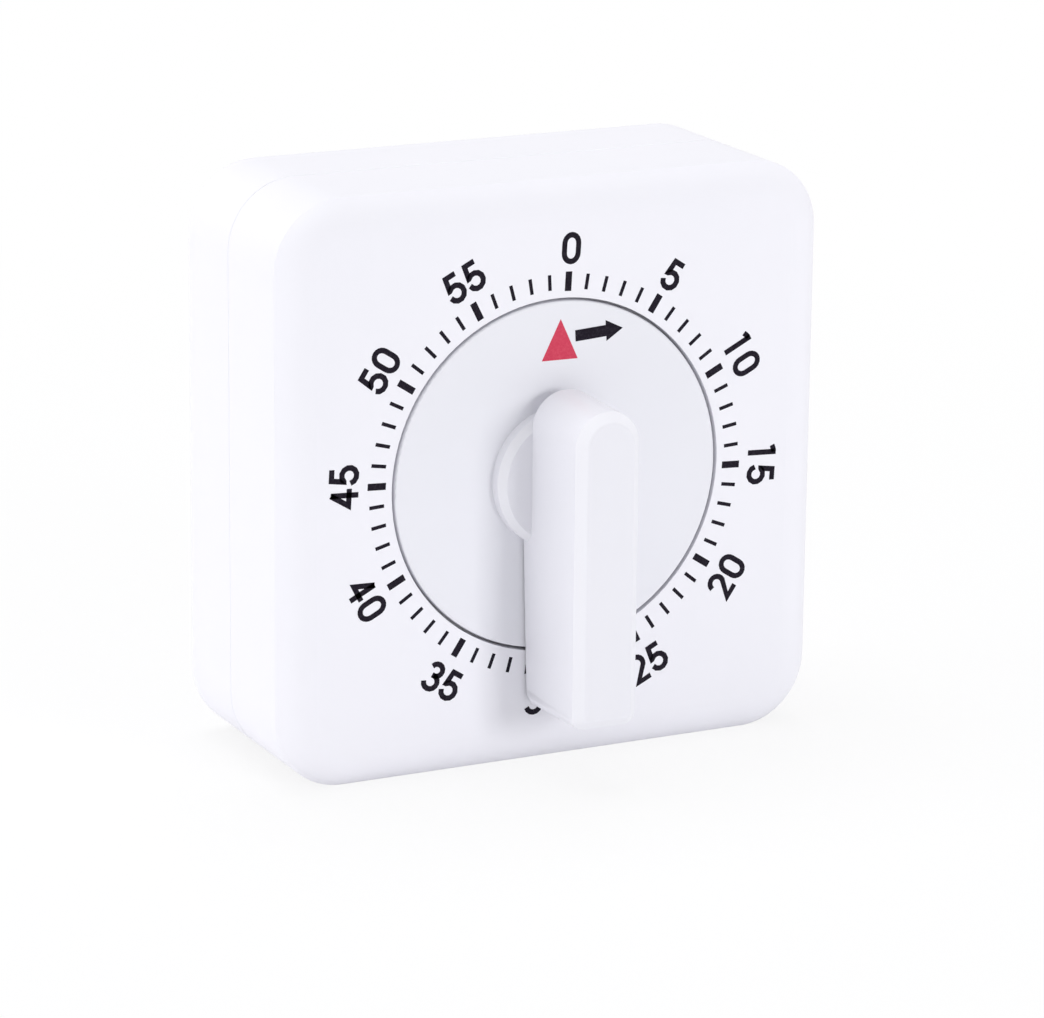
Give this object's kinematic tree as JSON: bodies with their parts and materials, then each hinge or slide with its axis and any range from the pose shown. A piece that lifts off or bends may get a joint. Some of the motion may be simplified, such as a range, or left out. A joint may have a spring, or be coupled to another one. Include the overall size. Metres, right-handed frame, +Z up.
{
  "type": "wind-up countdown timer",
  "caption": "Square two-shell wind-up countdown timer with a flush turning dial, a long lever knob and a clockwork movement with a bell; stands on its base or holds by magnets.",
  "frame": {"origin": "on the ground under the centre of the case's width and depth, which is the centre of its flat base", "axes": "+Z up, -Y out of the dial towards the user, +X to the user's right; the dial turns about +Y, clockwise when positive"},
  "size_m": [0.075, 0.0452, 0.075],
  "materials": {
    "case_plastic": "satin moulded white",
    "dial_plastic": "satin moulded white, printed",
    "knob_plastic": "satin moulded white",
    "zinc_steel": "zinc-plated",
    "turned_steel": "turned",
    "plate_steel": "rolled sheet, pickled",
    "spring_steel": "blued spring strip",
    "wheel_brass": "stamped brass",
    "bell_steel": "nickel-plated",
    "magnet_plate": "nickel-plated magnet"
  },
  "bodies": {
    "case": {"front_shell": "case_plastic", "rear_shell": "case_plastic", "case_screws": "zinc_steel", "magnets": "magnet_plate", "front_plate": "plate_steel", "rear_plate": "plate_steel", "pillars": "turned_steel", "pillar_screws": "zinc_steel", "post_screws": "zinc_steel", "mainspring": "spring_steel", "spring_post": "turned_steel", "hairspring": "spring_steel", "hairspring_stud": "wheel_brass", "bell": "bell_steel", "bell_post": "turned_steel", "bell_screw": "zinc_steel", "hammer_pin": "turned_steel", "hammer_spacer": "wheel_brass", "hammer_spring": "spring_steel"},
    "dial": {"dial_disc": "dial_plastic", "lever_knob": "knob_plastic", "main_arbor": "turned_steel", "arbor_clip": "spring_steel", "great_wheel": "wheel_brass", "clutch_spring": "spring_steel", "clutch_collet": "wheel_brass", "spring_hub": "turned_steel", "strike_cam": "plate_steel"},
    "second": {"second_wheel": "wheel_brass", "second_pinion": "turned_steel"},
    "third": {"third_wheel": "wheel_brass", "third_pinion": "turned_steel"},
    "escape": {"escape_wheel": "wheel_brass", "escape_pinion": "turned_steel"},
    "balance": {"anchor": "plate_steel", "balance_arbor": "turned_steel", "balance_wheel": "wheel_brass", "hairspring_collar": "wheel_brass"},
    "hammer": {"hammer_arm": "plate_steel", "hammer_head": "turned_steel"}
  },
  "joints": [
    {"name": "dial_turn", "type": "hinge", "parent": "case", "child": "dial", "pos_m": [0, 0, 0.0375], "axis": [0, 1, 0], "range_deg": [0, 354], "deforming": ["mainspring"]},
    {"name": "second_wheel_turn", "type": "hinge", "parent": "case", "child": "second", "pos_m": [-0.01146, 0, 0.02604], "axis": [0, 1, 0], "range_deg": [-2832, 0]},
    {"name": "third_wheel_turn", "type": "hinge", "parent": "case", "child": "third", "pos_m": [0.00044, 0, 0.02131], "axis": [0, 1, 0], "range_deg": [0, 19824]},
    {"name": "escape_wheel_turn", "type": "hinge", "parent": "case", "child": "escape", "pos_m": [0.01084, 0, 0.02546], "axis": [0, 1, 0], "range_deg": [-138768, 0]},
    {"name": "balance_swing", "type": "hinge", "parent": "case", "child": "balance", "pos_m": [0.01493, 0, 0.03122], "axis": [0, 1, 0], "range_deg": [-8, 8], "deforming": ["hairspring"]},
    {"name": "hammer_swing", "type": "hinge", "parent": "case", "child": "hammer", "pos_m": [0.0031, 0, 0.0223], "axis": [0, 1, 0], "range_deg": [0, 10], "deforming": ["hammer_spring"]}
  ],
  "couplings": [
    {"joint": "second_wheel_turn", "follows": "dial_turn", "ratio": -8},
    {"joint": "third_wheel_turn", "follows": "dial_turn", "ratio": 56},
    {"joint": "escape_wheel_turn", "follows": "dial_turn", "ratio": -392}
  ]
}
